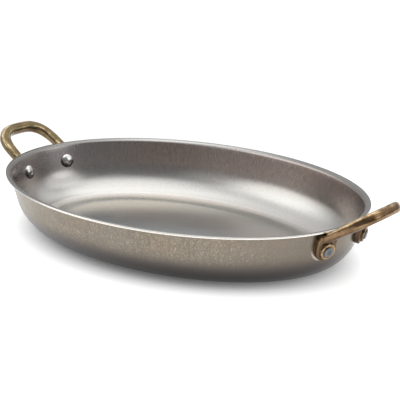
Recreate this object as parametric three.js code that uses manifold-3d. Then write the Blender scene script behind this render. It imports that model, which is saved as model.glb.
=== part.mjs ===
// Oval serving dish: one pressed steel dish with a flared lip, and two cast brass loop handles,
// each held by two solid rivets. Millimetres, +Z up, origin on the table under the middle of the base.

import * as THREE from 'three';
import { mergeVertices } from 'three/addons/utils/BufferGeometryUtils.js';
import Module from 'manifold-3d';

// Dish
const RIM_LENGTH = 360; // over the lip, along X
const RIM_WIDTH = 252; // over the lip, along Y
const DISH_HEIGHT = 51; // table to the top of the lip
const SHEET_THICKNESS = 1.5;
const LIP_OVERHANG = 4.5; // lip edge to the outside of the wall just below it
const LIP_BEND_RADIUS = 2.5; // under the lip
const WALL_DRAFT = THREE.MathUtils.degToRad(13.5); // lean of the wall from upright
const CORNER_RADIUS = 35.5; // outside, between wall and base

// Rivets
const RIVET_PITCH = 51.5; // between the two rivets of a handle, along Y
const RIVET_DROP = 16.8; // top of the lip down to the rivet, on the outside of the wall
const SHANK_DIAMETER = 6;
const HEAD_DIAMETER = 13; // inside the dish
const HEAD_HEIGHT = 3.2;
const TAIL_DIAMETER = 8.6; // closed end, outside
const TAIL_HEIGHT = 1;
const TAIL_EDGE = 0.4; // rounding of the closed end

// Handles
const LUG_WIDTH = 19.4;
const LUG_RISE = 14; // rivet to the top of the lug, along the wall
const LUG_THICKNESS = 4.2;
const LUG_EDGE = 0.7; // rounding of the lug's edges
const LUG_TOP_RADIUS = 5;
const BOSS_DIAMETER = 14.1; // raised ring that the rivet is closed on
const BOSS_HEIGHT = 2.2;
const BOSS_EDGE = 0.7;
const LEG_SPREAD = 2.75; // how much further from the middle than its rivet each leg stands
const LEG_OUT = 6; // rivet to the middle of the leg's root, along X
const LEG_RISE = 10.6; // rivet to the middle of the leg's root, upwards
const LOOP_REACH = 39.5; // leg's root to the middle of the grip, along the loop's slope
const LOOP_SLOPE = THREE.MathUtils.degToRad(32); // rise of the loop from level
const LOOP_SQUARENESS = 3.2; // exponent of the arch: 2 is an ellipse, more is squarer
const NECK_WIDTH = 9.8; // bar at the lug, in the loop's plane
const NECK_THICKNESS = 7.4;
const GRIP_WIDTH = 10; // bar at the middle of the grip
const GRIP_THICKNESS = 9.2;

// Fits
const FIT_CLEARANCE = 0.3;

// Fineness of the facets
const OVAL_STEPS = 72;
const CORNER_STEPS = 6;
const BEND_STEPS = 4;
const ROUND_STEPS = 16;
const DOME_STEPS = 5;
const BAR_STEPS = 32;
const BAR_SIDES = 12;

// Sizes worked out from the ones above
const HALF_LENGTH = RIM_LENGTH / 2;
const HALF_WIDTH = RIM_WIDTH / 2;
const BEND_CENTRE_INSET = LIP_OVERHANG - LIP_BEND_RADIUS * Math.cos(WALL_DRAFT);
const BEND_CENTRE_HEIGHT = DISH_HEIGHT - SHEET_THICKNESS - LIP_BEND_RADIUS;
const WALL_TOP_HEIGHT = BEND_CENTRE_HEIGHT + LIP_BEND_RADIUS * Math.sin(WALL_DRAFT);
const WALL_FOOT_HEIGHT = CORNER_RADIUS * (1 - Math.sin(WALL_DRAFT));
const WALL_FOOT_INSET = LIP_OVERHANG + (WALL_TOP_HEIGHT - WALL_FOOT_HEIGHT) * Math.tan(WALL_DRAFT);
const BASE_INSET = WALL_FOOT_INSET + CORNER_RADIUS * Math.cos(WALL_DRAFT);
const RIVET_HEIGHT = DISH_HEIGHT - RIVET_DROP;
const LOOP_HALF_SPAN = RIVET_PITCH / 2 + LEG_SPREAD;

const wasm = await Module();
wasm.setup();

// Lean from upright of the outside of the wall at a height, on its straight stretch or in the corner.
function wallLean(height) {
  return height < WALL_FOOT_HEIGHT ? Math.asin(1 - height / CORNER_RADIUS) : WALL_DRAFT;
}

// How far the outside of the wall lies inside the rim's edge at a height.
function wallInset(height) {
  if (height < WALL_FOOT_HEIGHT) {
    return BASE_INSET - CORNER_RADIUS * Math.cos(wallLean(height));
  }
  return WALL_FOOT_INSET - (height - WALL_FOOT_HEIGHT) * Math.tan(WALL_DRAFT);
}

// Section of a skin of the dish, from the middle of the base to the lip, as radius along X and height.
// Depth is measured inwards from the outside of the sheet.
function skinSection(depth, edgeInset) {
  const points = [[HALF_LENGTH, depth], [BASE_INSET, depth]];
  for (let i = 1; i <= CORNER_STEPS; i += 1) {
    const turn = (Math.PI / 2 - WALL_DRAFT) * (i / CORNER_STEPS);
    const radius = CORNER_RADIUS - depth;
    points.push([BASE_INSET - radius * Math.sin(turn), CORNER_RADIUS - radius * Math.cos(turn)]);
  }
  for (let i = 0; i <= BEND_STEPS; i += 1) {
    const turn = THREE.MathUtils.lerp(WALL_DRAFT, Math.PI / 2, i / BEND_STEPS);
    const radius = LIP_BEND_RADIUS + depth;
    points.push([BEND_CENTRE_INSET + radius * Math.cos(turn), BEND_CENTRE_HEIGHT + radius * Math.sin(turn)]);
  }
  points.push([edgeInset, BEND_CENTRE_HEIGHT + LIP_BEND_RADIUS + depth]);
  return points.map(([inset, height]) => new THREE.Vector2(HALF_LENGTH - inset, height));
}

// Turned solid whose rings are drawn in to ovals: every ring keeps the same inset on both axes.
function ovalGeometry(section) {
  const geometry = new THREE.LatheGeometry(section, OVAL_STEPS);
  geometry.rotateX(Math.PI / 2);
  const position = geometry.attributes.position;
  for (let i = 0; i < position.count; i += 1) {
    const radius = Math.hypot(position.getX(i), position.getY(i));
    if (radius > HALF_LENGTH - HALF_WIDTH) {
      position.setY(i, position.getY(i) * (radius - HALF_LENGTH + HALF_WIDTH) / radius);
    }
  }
  return geometry;
}

// Closed solid for joining and cutting, with shared corners merged and empty triangles left out.
function solidOf(geometry) {
  const bare = geometry.clone();
  bare.deleteAttribute('normal');
  bare.deleteAttribute('uv');
  const merged = mergeVertices(bare);
  const corners = merged.index.array;
  const triangles = [];
  for (let i = 0; i < corners.length; i += 3) {
    const [a, b, c] = [corners[i], corners[i + 1], corners[i + 2]];
    if (a !== b && b !== c && c !== a) {
      triangles.push(a, b, c);
    }
  }
  const vertProperties = new Float32Array(merged.attributes.position.array);
  const triVerts = new Uint32Array(triangles);
  return new wasm.Manifold(new wasm.Mesh({ numProp: 3, vertProperties, triVerts }));
}

function geometryOf(solid) {
  const mesh = solid.getMesh();
  const geometry = new THREE.BufferGeometry();
  geometry.setAttribute('position', new THREE.BufferAttribute(mesh.vertProperties, 3));
  geometry.setIndex(new THREE.BufferAttribute(mesh.triVerts, 1));
  geometry.computeVertexNormals();
  return geometry;
}

// Frame on the outside of the wall at a rivet of the +X end: x runs level along the wall,
// y up the wall and z straight out of it. Side is -1 for the front rivet and +1 for the back one.
function rivetFrame(side) {
  const halfLength = HALF_LENGTH - wallInset(RIVET_HEIGHT);
  const halfWidth = HALF_WIDTH - wallInset(RIVET_HEIGHT);
  const y = side * RIVET_PITCH / 2;
  const x = halfLength * Math.sqrt(1 - (y / halfWidth) ** 2);
  const lean = Math.tan(wallLean(RIVET_HEIGHT)) * (x ** 2 / halfLength ** 3 + y ** 2 / halfWidth ** 3);
  const out = new THREE.Vector3(x / halfLength ** 2, y / halfWidth ** 2, -lean).normalize();
  const along = new THREE.Vector3(0, 0, 1).cross(out).normalize();
  const up = new THREE.Vector3().crossVectors(out, along);
  return new THREE.Matrix4().makeBasis(along, up, out).setPosition(x, y, RIVET_HEIGHT);
}

// Round piece along z, from a section of radius and height.
function turned(section) {
  const geometry = new THREE.LatheGeometry(section.map(([r, z]) => new THREE.Vector2(r, z)), ROUND_STEPS);
  return geometry.rotateX(Math.PI / 2);
}

function rivetHole() {
  const radius = SHANK_DIAMETER / 2 + FIT_CLEARANCE;
  const inner = -SHEET_THICKNESS - HEAD_HEIGHT;
  const outer = LUG_THICKNESS + BOSS_HEIGHT + TAIL_HEIGHT;
  return turned([[0, inner], [radius, inner], [radius, outer], [0, outer]]);
}

// The sheet of the dish with its four rivet holes, made thicker all over by a margin.
function dishSolid(margin) {
  const outside = skinSection(-margin, -margin);
  const inside = skinSection(SHEET_THICKNESS + margin, -margin);
  let dish = solidOf(ovalGeometry([...outside, ...inside.reverse()]));
  for (const end of [0, Math.PI]) {
    for (const side of [-1, 1]) {
      const place = new THREE.Matrix4().makeRotationZ(end).multiply(rivetFrame(side));
      dish = dish.subtract(solidOf(rivetHole().applyMatrix4(place)));
    }
  }
  return dish;
}

// The dish filled level with its lip and grown by the fit clearance: what a handle has to stay out of.
function dishKeepOut() {
  const outside = skinSection(-FIT_CLEARANCE, -FIT_CLEARANCE);
  const top = DISH_HEIGHT + FIT_CLEARANCE;
  outside.push(new THREE.Vector2(HALF_LENGTH + FIT_CLEARANCE, top), new THREE.Vector2(0, top));
  return solidOf(ovalGeometry(outside));
}

// Flat tongue of the handle, round at the foot about the rivet, that lies against the wall.
function lugGeometry() {
  const half = LUG_WIDTH / 2 - LUG_EDGE;
  const top = LUG_RISE - LUG_EDGE;
  const radius = LUG_TOP_RADIUS - LUG_EDGE;
  const outline = new THREE.Shape();
  outline.absarc(0, 0, half, Math.PI, 2 * Math.PI);
  outline.absarc(half - radius, top - radius, radius, 0, Math.PI / 2);
  outline.absarc(radius - half, top - radius, radius, Math.PI / 2, Math.PI);
  const geometry = new THREE.ExtrudeGeometry(outline, {
    depth: 2 * LUG_THICKNESS - 2 * LUG_EDGE,
    bevelSize: LUG_EDGE,
    bevelThickness: LUG_EDGE,
    bevelSegments: 1,
    curveSegments: 7,
  });
  return geometry.translate(0, 0, LUG_EDGE - LUG_THICKNESS);
}

function bossGeometry() {
  const radius = BOSS_DIAMETER / 2;
  const top = LUG_THICKNESS + BOSS_HEIGHT;
  return turned([[0, 0], [radius, 0], [radius, top - BOSS_EDGE], [radius - BOSS_EDGE, top], [0, top]]);
}

// Middle line of the bar: a squared arch in the sloping plane of the loop, its legs run on into the lugs.
function loopLine() {
  const root = new THREE.Vector3().setFromMatrixPosition(rivetFrame(1));
  const point = (across, along) => new THREE.Vector3(
    root.x + LEG_OUT + along * Math.cos(LOOP_SLOPE),
    across,
    root.z + LEG_RISE + along * Math.sin(LOOP_SLOPE),
  );
  const points = [point(LOOP_HALF_SPAN, -LUG_THICKNESS)];
  for (let i = 0; i <= BAR_STEPS; i += 1) {
    const turn = Math.PI * i / BAR_STEPS;
    const across = Math.sign(Math.cos(turn)) * Math.abs(Math.cos(turn)) ** (2 / LOOP_SQUARENESS);
    const along = Math.sin(turn) ** (2 / LOOP_SQUARENESS);
    points.push(point(LOOP_HALF_SPAN * across, LOOP_REACH * along));
  }
  points.push(point(-LOOP_HALF_SPAN, -LUG_THICKNESS));
  return new THREE.CatmullRomCurve3(points, false, 'centripetal');
}

// Oval bar along the loop, thickening from the lugs to the middle of the grip.
function barGeometry() {
  const line = loopLine();
  const gripHeight = RIVET_HEIGHT + LEG_RISE + LOOP_REACH * Math.sin(LOOP_SLOPE);
  const thick = new THREE.Vector3(-Math.sin(LOOP_SLOPE), 0, Math.cos(LOOP_SLOPE));
  const position = [];
  const index = [];
  for (let i = 0; i <= BAR_STEPS; i += 1) {
    const middle = line.getPointAt(i / BAR_STEPS);
    const wide = new THREE.Vector3().crossVectors(thick, line.getTangentAt(i / BAR_STEPS)).normalize();
    const swell = THREE.MathUtils.smoothstep(middle.z, RIVET_HEIGHT + LEG_RISE, gripHeight);
    const halfWidth = THREE.MathUtils.lerp(NECK_WIDTH, GRIP_WIDTH, swell) / 2;
    const halfThickness = THREE.MathUtils.lerp(NECK_THICKNESS, GRIP_THICKNESS, swell) / 2;
    for (let j = 0; j < BAR_SIDES; j += 1) {
      const turn = 2 * Math.PI * j / BAR_SIDES;
      const corner = middle.clone()
        .addScaledVector(wide, halfWidth * Math.cos(turn))
        .addScaledVector(thick, halfThickness * Math.sin(turn));
      position.push(corner.x, corner.y, corner.z);
    }
  }
  for (let i = 0; i < BAR_STEPS; i += 1) {
    for (let j = 0; j < BAR_SIDES; j += 1) {
      const a = i * BAR_SIDES + j;
      const b = i * BAR_SIDES + (j + 1) % BAR_SIDES;
      index.push(a, b, a + BAR_SIDES, b, b + BAR_SIDES, a + BAR_SIDES);
    }
  }
  const last = BAR_STEPS * BAR_SIDES;
  for (let j = 1; j < BAR_SIDES - 1; j += 1) {
    index.push(0, j + 1, j, last, last + j, last + j + 1);
  }
  const geometry = new THREE.BufferGeometry();
  geometry.setAttribute('position', new THREE.Float32BufferAttribute(position, 3));
  geometry.setIndex(index);
  return geometry;
}

function handleGeometry() {
  let handle = solidOf(barGeometry());
  for (const side of [-1, 1]) {
    handle = handle.add(solidOf(lugGeometry().applyMatrix4(rivetFrame(side))));
    handle = handle.add(solidOf(bossGeometry().applyMatrix4(rivetFrame(side))));
  }
  handle = handle.subtract(dishKeepOut());
  for (const side of [-1, 1]) {
    handle = handle.subtract(solidOf(rivetHole().applyMatrix4(rivetFrame(side))));
  }
  return geometryOf(handle);
}

// Rivet in its own frame on the wall, its head hollowed to follow the curved inside of the dish.
function rivetGeometry(side) {
  const seat = -SHEET_THICKNESS;
  const section = [];
  for (let i = 0; i <= DOME_STEPS; i += 1) {
    const turn = (Math.PI / 2) * (i / DOME_STEPS);
    section.push([HEAD_DIAMETER / 2 * Math.sin(turn), seat - HEAD_HEIGHT * Math.cos(turn)]);
  }
  const tailFoot = LUG_THICKNESS + BOSS_HEIGHT + FIT_CLEARANCE;
  const tailTop = tailFoot + TAIL_HEIGHT;
  section.push([SHANK_DIAMETER / 2, seat], [SHANK_DIAMETER / 2, tailFoot], [TAIL_DIAMETER / 2, tailFoot]);
  section.push([TAIL_DIAMETER / 2, tailTop - TAIL_EDGE]);
  section.push([TAIL_DIAMETER / 2 - TAIL_EDGE, tailTop], [0, tailTop]);
  const frame = rivetFrame(side);
  const blank = solidOf(turned(section).applyMatrix4(frame));
  return geometryOf(blank.subtract(dishSolid(FIT_CLEARANCE))).applyMatrix4(frame.invert());
}

function steel(roughness) {
  return new THREE.MeshStandardMaterial({ color: 0x8f8a84, roughness, metalness: 1 });
}

function agedBrass() {
  return new THREE.MeshStandardMaterial({ color: 0x9a7a45, roughness: 0.42, metalness: 1 });
}

function namedMesh(name, geometry, material) {
  const mesh = new THREE.Mesh(geometry, material);
  mesh.name = name;
  return mesh;
}

// One end of the dish: its handle, and its two rivets in the wall's frame.
function dishEnd(name, turn, rivetSides) {
  const end = new THREE.Group();
  end.rotation.z = turn;
  end.add(namedMesh(`handle_${name}`, handleGeometry(), agedBrass()));
  for (const [place, side] of rivetSides) {
    const seat = new THREE.Group();
    rivetFrame(side).decompose(seat.position, seat.quaternion, seat.scale);
    seat.add(namedMesh(`rivet_${name}_${place}`, rivetGeometry(side), steel(0.3)));
    end.add(seat);
  }
  return end;
}

const servingDish = new THREE.Group();
servingDish.add(namedMesh('dish_shell', geometryOf(dishSolid(0)), steel(0.45)));
servingDish.add(dishEnd('right', 0, [['front', -1], ['back', 1]]));
servingDish.add(dishEnd('left', Math.PI, [['front', 1], ['back', -1]]));

export default servingDish;
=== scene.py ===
# %% [markdown]
# # Oval serving dish
# A pressed steel dish with a turned-out lip, and two cast brass loop handles that are riveted to its
# ends. Its sizes are already settled in the packed model, so nothing is measured by eye here: that model
# is loaded as a fixed frame, and every piece below stands where its packed solid stands, in metres.

# %% The frame and its box
import math

import bmesh
import bpy
from mathutils import Matrix, Vector, kdtree


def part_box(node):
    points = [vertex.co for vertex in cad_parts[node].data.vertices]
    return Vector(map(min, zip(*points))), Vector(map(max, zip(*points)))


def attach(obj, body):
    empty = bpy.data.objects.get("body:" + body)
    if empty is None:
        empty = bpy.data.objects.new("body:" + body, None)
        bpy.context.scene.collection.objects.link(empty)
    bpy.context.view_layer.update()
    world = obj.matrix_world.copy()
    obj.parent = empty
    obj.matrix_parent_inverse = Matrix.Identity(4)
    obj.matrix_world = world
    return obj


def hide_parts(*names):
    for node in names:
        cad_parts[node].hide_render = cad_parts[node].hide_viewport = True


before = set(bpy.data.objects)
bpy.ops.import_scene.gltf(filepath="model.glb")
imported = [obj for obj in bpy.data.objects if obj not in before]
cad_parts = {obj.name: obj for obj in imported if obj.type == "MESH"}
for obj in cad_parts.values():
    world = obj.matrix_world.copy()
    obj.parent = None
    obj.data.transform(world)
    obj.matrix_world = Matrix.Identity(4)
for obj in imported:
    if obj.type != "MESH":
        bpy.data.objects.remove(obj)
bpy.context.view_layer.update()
scene = bpy.context.scene
scene.view_settings.view_transform = "Standard"
print("packed pieces:", sorted(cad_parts))

# %% [markdown]
# ## The camera
# The photograph looks down on the dish from its right front corner, through a fairly long lens. A camera
# could be moved by eye until the picture looks right, but then any later difference might be its fault.
# So its numbers were fitted once to the rim, the base and the rivets of the solids, and stay as they are.

# %% Camera
CAMERA_AZIMUTH = math.radians(38.96)
CAMERA_ELEVATION = math.radians(17.80)
CAMERA_DISTANCE = 1.0741
CAMERA_TARGET = Vector((0.0219, 0.0, 0.0382))
CAMERA_LENS = 110.4

toward_camera = Vector((
    math.sin(CAMERA_AZIMUTH) * math.cos(CAMERA_ELEVATION),
    -math.cos(CAMERA_AZIMUTH) * math.cos(CAMERA_ELEVATION),
    math.sin(CAMERA_ELEVATION),
))
camera = bpy.data.objects.new("camera", bpy.data.cameras.new("camera"))
scene.collection.objects.link(camera)
camera.data.lens = CAMERA_LENS
camera.location = CAMERA_TARGET + CAMERA_DISTANCE * toward_camera
camera.rotation_euler = toward_camera.to_track_quat("Z", "Y").to_euler()
scene.camera = camera
print("camera stands at", [round(value, 3) for value in camera.location])

# %% [markdown]
# ## Writing shader maths
# A finish is a small sum of noises and masks. Wired by hand it fills a screen with nodes that are hard to
# read, so one class wraps a socket: arithmetic on it adds Math nodes, and `node` adds any other kind.
# Colours are mixed and never multiplied this way, because a Math node would turn them grey.

# %% A socket that can be added and multiplied
class Shade:
    """One socket of a node tree. Sums and products on it add Math nodes."""

    def __init__(self, tree, socket=None):
        self.tree = tree
        self.socket = socket

    def node(self, kind, settings=None, sockets=None, output=0):
        """Add a node: its settings first, then the values or links of its sockets."""
        node = self.tree.nodes.new(kind)
        for name, value in (settings or {}).items():
            setattr(node, name, value)
        for name, value in (sockets or {}).items():
            if isinstance(value, Shade):
                self.tree.links.new(value.socket, node.inputs[name])
            else:
                node.inputs[name].default_value = value
        return Shade(self.tree, node.outputs[output])

    def math(self, operation, first, second):
        return self.node("ShaderNodeMath", {"operation": operation}, {0: first, 1: second})

    def __add__(self, other):
        return self.math("ADD", self, other)

    def __sub__(self, other):
        return self.math("SUBTRACT", self, other)

    def __rsub__(self, other):
        return self.math("SUBTRACT", other, self)

    def __mul__(self, other):
        return self.math("MULTIPLY", self, other)

    __radd__ = __add__
    __rmul__ = __mul__

    def __abs__(self):
        return self.math("ABSOLUTE", self, 0.0)

    def between(self, low, high):
        """0 before low, 1 beyond high, and a smooth step from one to the other."""
        return self.node(
            "ShaderNodeMapRange",
            {"interpolation_type": "SMOOTHSTEP"},
            {"Value": self, "From Min": low, "From Max": high},
        )

    def mix(self, first, second):
        """From the first colour to the second as this value goes from 0 to 1."""
        return self.node("ShaderNodeMix", {"data_type": "RGBA"}, {0: self, 6: first, 7: second}, output=2)

    def vector(self, operation, first, second=(0.0, 0.0, 0.0), output="Vector"):
        return self.node("ShaderNodeVectorMath", {"operation": operation}, {0: first, 1: second}, output)

    def measure(self, operation, first, second=(0.0, 0.0, 0.0)):
        """A number from vectors, such as their distance or dot product."""
        return self.vector(operation, first, second, "Value")

    def place(self):
        """Where a point lies on its piece: Object coordinates."""
        return self.node("ShaderNodeTexCoord", output="Object")

    def axis(self, where, letter):
        """One coordinate of a place."""
        return self.node("ShaderNodeSeparateXYZ", {}, {"Vector": where}, letter)

    def mark(self, name, output="Fac"):
        """A value that is kept on the mesh under this name."""
        return self.node("ShaderNodeAttribute", {"attribute_name": name}, output=output)

    def noise(self, where, scale, detail=3.0, roughness=0.6):
        """A cloudy pattern about a half, with its scale in lumps per metre."""
        sockets = {"Vector": where, "Scale": scale, "Detail": detail, "Roughness": roughness}
        return self.node("ShaderNodeTexNoise", {}, sockets)

    def pulled(self, where, scale, pull, detail=3.0, roughness=0.6):
        """The same pattern, drawn out along the axes whose share in pull is small."""
        return self.noise(self.vector("MULTIPLY", where, pull), scale, detail, roughness)

    def bump(self, height, strength, distance):
        """A normal that is roughened by a height."""
        sockets = {"Height": height, "Strength": strength, "Distance": distance}
        return self.node("ShaderNodeBump", {}, sockets)


print("a Shade can", [name for name in vars(Shade) if not name.startswith("_")])

# %% [markdown]
# ## Starting a finish
# Every finish here starts alike: a Principled shader, whose even values are set on its own sockets, and a
# Shade to build its pattern with. The pattern could be kept in an image, but the dish has no seam to hide
# an image's edge at, so all patterns are worked out from the place on the piece.

# %% Starting and feeding a finish
def tone(red, green, blue):
    """A colour as a socket takes it, with full cover."""
    return (red, green, blue, 1.0)


def finish(name, constants):
    """A new material, its shader node, and a Shade to build its pattern with."""
    material = bpy.data.materials.new(name)
    material.use_nodes = True
    shader = material.node_tree.nodes["Principled BSDF"]
    for socket, value in constants.items():
        shader.inputs[socket].default_value = value
    return material, shader, Shade(material.node_tree)


def feed(shader, links):
    """Link finished values to a shader's sockets."""
    for socket, value in links.items():
        value.tree.links.new(value.socket, shader.inputs[socket])


METAL = {"Metallic": 1.0}
print("a metal starts with", METAL)

# %% [markdown]
# ## The floor
# The dish was shot on white. Strong light could make any floor white, but it would wash out the steel as
# well. So this wide pale floor glows by itself, only for what looks at it straight or in a mirror, and it
# keeps the soft shadow of the dish. Round the dish the glow is painted light: it lightens the dish's shadow
# there, and the outer wall mirrors it. Under the dish it glows little, so the contact shadow stays dark.

# %% Floor
FLOOR_RADIUS = 9.0
FLOOR_SIDES = 96
FLOOR_COLOUR = tone(0.92, 0.92, 0.92)
FLOOR_ROUGHNESS = 0.9
GLOW_UNDER = 0.10
SHADOW_FILL_GLOW = 0.60
GLOW_OUT = 0.06
DISH_FOOTPRINT = (0.180, 0.126)
UNDER_TO_ROUND = (0.72, 1.02)
ROUND_TO_OUT = (1.1, 2.4)
BLACK = tone(0.0, 0.0, 0.0)
WHITE = tone(1.0, 1.0, 1.0)
SEEING_RAYS = ("Is Camera Ray", "Is Glossy Ray", "Is Transmission Ray")

bpy.ops.object.select_all(action="DESELECT")
bpy.ops.mesh.primitive_circle_add(vertices=FLOOR_SIDES, radius=FLOOR_RADIUS, fill_type="NGON")
floor = bpy.context.object
floor.name = "floor"
floor_paint, shader, shade = finish("floor_paint", {
    "Base Color": FLOOR_COLOUR,
    "Roughness": FLOOR_ROUGHNESS,
    "Specular IOR Level": 0.0,
    "Emission Strength": 1.0,
})
seen = 0.0
for ray in SEEING_RAYS:
    seen = seen + shade.node("ShaderNodeLightPath", output=ray)
seen = shade.math("MINIMUM", seen, 1.0)
oval_place = shade.vector("MULTIPLY", shade.place(), (1 / DISH_FOOTPRINT[0], 1 / DISH_FOOTPRINT[1], 0.0))
from_middle = shade.measure("LENGTH", oval_place)
# painted light: the floor's glow rises round the dish to lighten the dish's shadow there
shadow_fill_glow = GLOW_UNDER + (SHADOW_FILL_GLOW - GLOW_UNDER) * from_middle.between(*UNDER_TO_ROUND)
glow = seen * (shadow_fill_glow + (GLOW_OUT - SHADOW_FILL_GLOW) * from_middle.between(*ROUND_TO_OUT))
feed(shader, {"Emission Color": glow.mix(BLACK, WHITE)})
floor.data.materials.append(floor_paint)
print("floor reaches", FLOOR_RADIUS, "m from the dish")

# %% [markdown]
# ## The room
# Metal has little to show but the room around it. A picture of a real room could be wrapped around the
# scene, but a few soft zones are easier to place. This room is white behind the dish, dark on the camera's
# side, which the far wall mirrors, and bright overhead. Pale cards stand at its left and right, and make
# the bright sweeps in the cove. A faint one between them keeps these sweeps from falling apart.

# %% Room
ROOM_BACK = 0.82
HORIZON = 0.70
ROOM_FRONT = 0.21
ROOM_UPPER = 0.44
ROOM_TOP = 0.88
BACK_RISE = (0.20, 0.55)
FRONT_TURN = (-0.61, 0.0)
UPPER_RISE = (0.20, 0.98)
UPPER_DIM = 0.85
UPPER_DIM_TURN = (0.3, 0.75)
TOP_RISE = (0.756, 1.0)
LEFT_CARDS = ((0.72, -101, 27, (0.83, 0.99)), (0.80, -94, 30, (0.89, 0.996)))
LEFT_RISE = (0.08, 0.28)
RIGHT_CARDS = ((0.68, 81, 34, (0.86, 0.97)), (0.60, 70, 17, (0.94, 0.99)))
RIGHT_RISE = (0.12, 0.25)
FAINT_CARDS = ((0.20, -60, 26, (0.93, 0.995)),)

world = bpy.data.worlds.new("room")
world.use_nodes = True
scene.world = world
room = Shade(world.node_tree)
looking = room.node("ShaderNodeTexCoord", output="Generated")


def towards(turn, elevation):
    """How nearly one looks towards a point of the room, in degrees from the camera's side and upwards."""
    round_z = CAMERA_AZIMUTH - math.pi / 2 + math.radians(turn)
    level = math.cos(math.radians(elevation))
    aim = (level * math.cos(round_z), level * math.sin(round_z), math.sin(math.radians(elevation)))
    return room.measure("DOT_PRODUCT", looking, aim)


def cards(rows):
    """Soft round cards, each with its strength, turn, elevation, and how it grows to its middle."""
    total = 0.0
    for strength, turn, elevation, growth in rows:
        total = total + strength * towards(turn, elevation).between(*growth)
    return total


to_front = towards(0, 0)
to_top = towards(0, 90)
back_wall = ROOM_BACK * (HORIZON + (1 - HORIZON) * to_top.between(*BACK_RISE))
low_room = ROOM_FRONT + (back_wall - ROOM_FRONT) * (1 - to_front.between(*FRONT_TURN))
upper_room = ROOM_UPPER * to_top.between(*UPPER_RISE) * (1 - UPPER_DIM * to_front.between(*UPPER_DIM_TURN))
top_room = ROOM_TOP * to_top.between(*TOP_RISE)
left_room = cards(LEFT_CARDS) * to_top.between(*LEFT_RISE)
right_room = cards(RIGHT_CARDS) * to_top.between(*RIGHT_RISE)
background = world.node_tree.nodes["Background"]
background.inputs["Color"].default_value = WHITE
high_room = upper_room + top_room
feed(background, {"Strength": low_room + high_room + left_room + right_room + cards(FAINT_CARDS)})
print("room: back", ROOM_BACK, "front", ROOM_FRONT, "top", ROOM_TOP)

# %% [markdown]
# ## The soft box
# One broad lamp gives the even light of a studio table. A small lamp would throw hard shadows and put the
# same glint on every rivet, so a square area light, much wider than the dish, hangs straight above it.

# %% Soft box
BOX_SIDE = 2.2
BOX_HEIGHT = 1.6
BOX_POWER = 3.0
BOX_COLOUR = (0.97, 0.985, 1.0)

soft_box = bpy.data.objects.new("soft_box", bpy.data.lights.new("soft_box", "AREA"))
scene.collection.objects.link(soft_box)
soft_box.data.shape = "SQUARE"
soft_box.data.size = BOX_SIDE
soft_box.data.energy = BOX_POWER
soft_box.data.color = BOX_COLOUR
soft_box.location = (0.0, 0.0, BOX_HEIGHT)
print("soft box of", BOX_POWER, "W at", BOX_HEIGHT, "m")

# %% [markdown]
# ## Rings
# A pressed dish and a turned rivet are both rings that change size from level to level. One could spin a
# profile, but an oval needs its two axes changed apart. So a circle is extruded, lifted and scaled from
# ring to ring, as one would by hand in edit mode.

# %% Ring tools
MM = 0.001


def pick(piece):
    """Make one object the only selected and active one."""
    bpy.ops.object.select_all(action="DESELECT")
    piece.select_set(True)
    bpy.context.view_layer.objects.active = piece


def close_up():
    """Turn all faces outwards and leave edit mode."""
    bpy.ops.mesh.select_all(action="SELECT")
    bpy.ops.mesh.normals_make_consistent(inside=False)
    bpy.ops.object.mode_set(mode="OBJECT")


def rings(name, section, sides, fill):
    """Extrude one ring through a list of half sizes along X and Y, and heights."""
    bpy.ops.object.select_all(action="DESELECT")
    half_x, half_y, level = section[0]
    bpy.ops.mesh.primitive_circle_add(vertices=sides, radius=1.0, fill_type=fill)
    piece = bpy.context.object
    piece.name = name
    bpy.ops.object.mode_set(mode="EDIT")
    bpy.ops.transform.resize(value=(half_x, half_y, 1.0))
    bpy.ops.transform.translate(value=(0.0, 0.0, level))
    for next_x, next_y, next_level in section[1:]:
        step = {"value": (0.0, 0.0, next_level - level)}
        bpy.ops.mesh.extrude_region_move(TRANSFORM_OT_translate=step)
        bpy.ops.transform.resize(
            value=(next_x / half_x, next_y / half_y, 1.0), center_override=(0.0, 0.0, next_level)
        )
        half_x, half_y, level = next_x, next_y, next_level
    if fill == "NOTHING":
        bpy.ops.mesh.edge_face_add()
    close_up()
    return piece


print("rings are drawn in metres, with a millimetre of", MM)

# %% [markdown]
# ## The section of the dish
# The real dish is pressed from one sheet: a flat base, a generous cove, a leaning wall and a narrow lip
# that turns outwards over a small bend. Its section could be drawn once as a curve, but the same arcs are
# needed again, a little further out, to cut the backs of the handles. So one function gives the rings at
# any depth in the sheet.

# %% Section of the dish
dish_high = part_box("dish_shell")[1]
HALF_LENGTH = dish_high.x
HALF_WIDTH = dish_high.y
DISH_HEIGHT = dish_high.z
SHEET_THICKNESS = 1.5 * MM
LIP_OVERHANG = 4.5 * MM
LIP_BEND_RADIUS = 2.5 * MM
WALL_DRAFT = math.radians(13.5)
CORNER_RADIUS = 35.5 * MM
BEND_STEPS = 8
WALL_STEPS = 6
CORNER_STEPS = 20
BASE_RINGS = 8

bend_inset = LIP_OVERHANG - LIP_BEND_RADIUS * math.cos(WALL_DRAFT)
bend_height = DISH_HEIGHT - SHEET_THICKNESS - LIP_BEND_RADIUS
wall_top = bend_height + LIP_BEND_RADIUS * math.sin(WALL_DRAFT)
wall_foot = CORNER_RADIUS * (1 - math.sin(WALL_DRAFT))
foot_inset = LIP_OVERHANG + (wall_top - wall_foot) * math.tan(WALL_DRAFT)
base_inset = foot_inset + CORNER_RADIUS * math.cos(WALL_DRAFT)


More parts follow.
